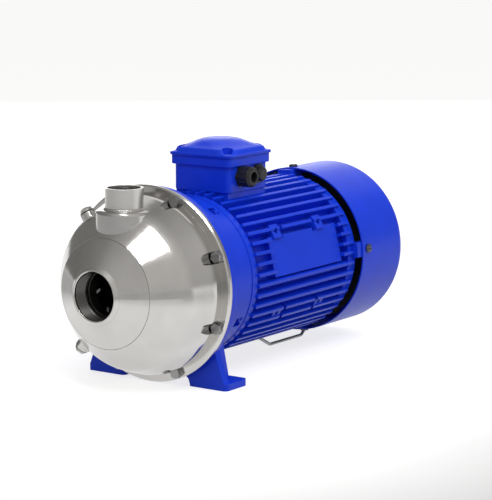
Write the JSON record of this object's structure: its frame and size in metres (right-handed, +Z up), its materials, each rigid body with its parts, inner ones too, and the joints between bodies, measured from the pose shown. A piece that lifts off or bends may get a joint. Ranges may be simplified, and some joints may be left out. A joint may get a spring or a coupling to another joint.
{
  "type": "centrifugal pump",
  "caption": "Close-coupled end-suction centrifugal pump with a pressed stainless casing, a finned fan-cooled motor, a terminal box, bolted feet and a rear wire stand.",
  "frame": {"origin": "centre of the suction mouth, where its thread starts, on the shaft line", "axes": "+Y along the shaft from the suction mouth to the fan cover, +Z up towards the discharge, +X to the side of the cable gland"},
  "size_m": [0.197, 0.4309, 0.2317],
  "materials": {
    "polished_stainless": "polished",
    "stainless": "satin",
    "blue_paint": "gloss",
    "zinc_steel": "zinc plated",
    "shaft_steel": "ground",
    "core_steel": "plain",
    "copper_winding": "varnished",
    "black_rubber": "matte",
    "seal_ceramic": "ground",
    "seal_carbon": "lapped",
    "black_plastic": "moulded",
    "brass": "plain"
  },
  "bodies": {
    "pump": {"pump_casing": "polished_stainless", "suction_socket": "polished_stainless", "discharge_nozzle": "polished_stainless", "wear_ring": "stainless", "fill_plug": "stainless", "fill_plug_seal": "black_rubber", "drain_plug": "stainless", "drain_plug_seal": "black_rubber", "casing_screws": "zinc_steel", "casing_o_ring": "black_rubber", "seal_disc": "stainless", "seal_seat": "seal_ceramic", "seal_seat_cup": "black_rubber", "front_bearing_outer": "shaft_steel", "rear_bearing_outer": "shaft_steel", "wave_washer": "shaft_steel", "adapter": "blue_paint", "adapter_screws": "zinc_steel", "motor_frame": "blue_paint", "stator_core": "core_steel", "windings": "copper_winding", "rear_shield": "blue_paint", "shield_screws": "zinc_steel", "fan_cover": "blue_paint", "fan_cover_screws": "zinc_steel", "wire_stand": "zinc_steel", "terminal_box": "blue_paint", "terminal_box_gasket": "black_rubber", "terminal_lid": "blue_paint", "lid_screws": "zinc_steel", "terminal_block": "black_plastic", "terminal_studs": "brass", "terminal_links": "brass", "earth_screw": "brass", "cable_gland_body": "black_plastic", "cable_gland_seal": "black_rubber", "cable_gland_nut": "black_plastic", "blanking_plug": "black_plastic"},
    "rotor": {"seal_head": "seal_carbon", "seal_bellows": "black_rubber", "seal_spring": "stainless", "impeller": "stainless", "impeller_key": "stainless", "impeller_washer": "stainless", "impeller_nut": "stainless", "shaft": "shaft_steel", "slinger": "black_rubber", "rotor_core": "core_steel", "front_bearing_inner": "shaft_steel", "front_bearing_balls": "shaft_steel", "rear_bearing_inner": "shaft_steel", "rear_bearing_balls": "shaft_steel", "fan": "black_plastic", "fan_clip": "shaft_steel"}
  },
  "joints": [
    {"name": "rotor_spin", "type": "hinge", "parent": "pump", "child": "rotor", "pos_m": [0, 0, 0], "axis": [0, 1, 0], "continuous": true}
  ]
}
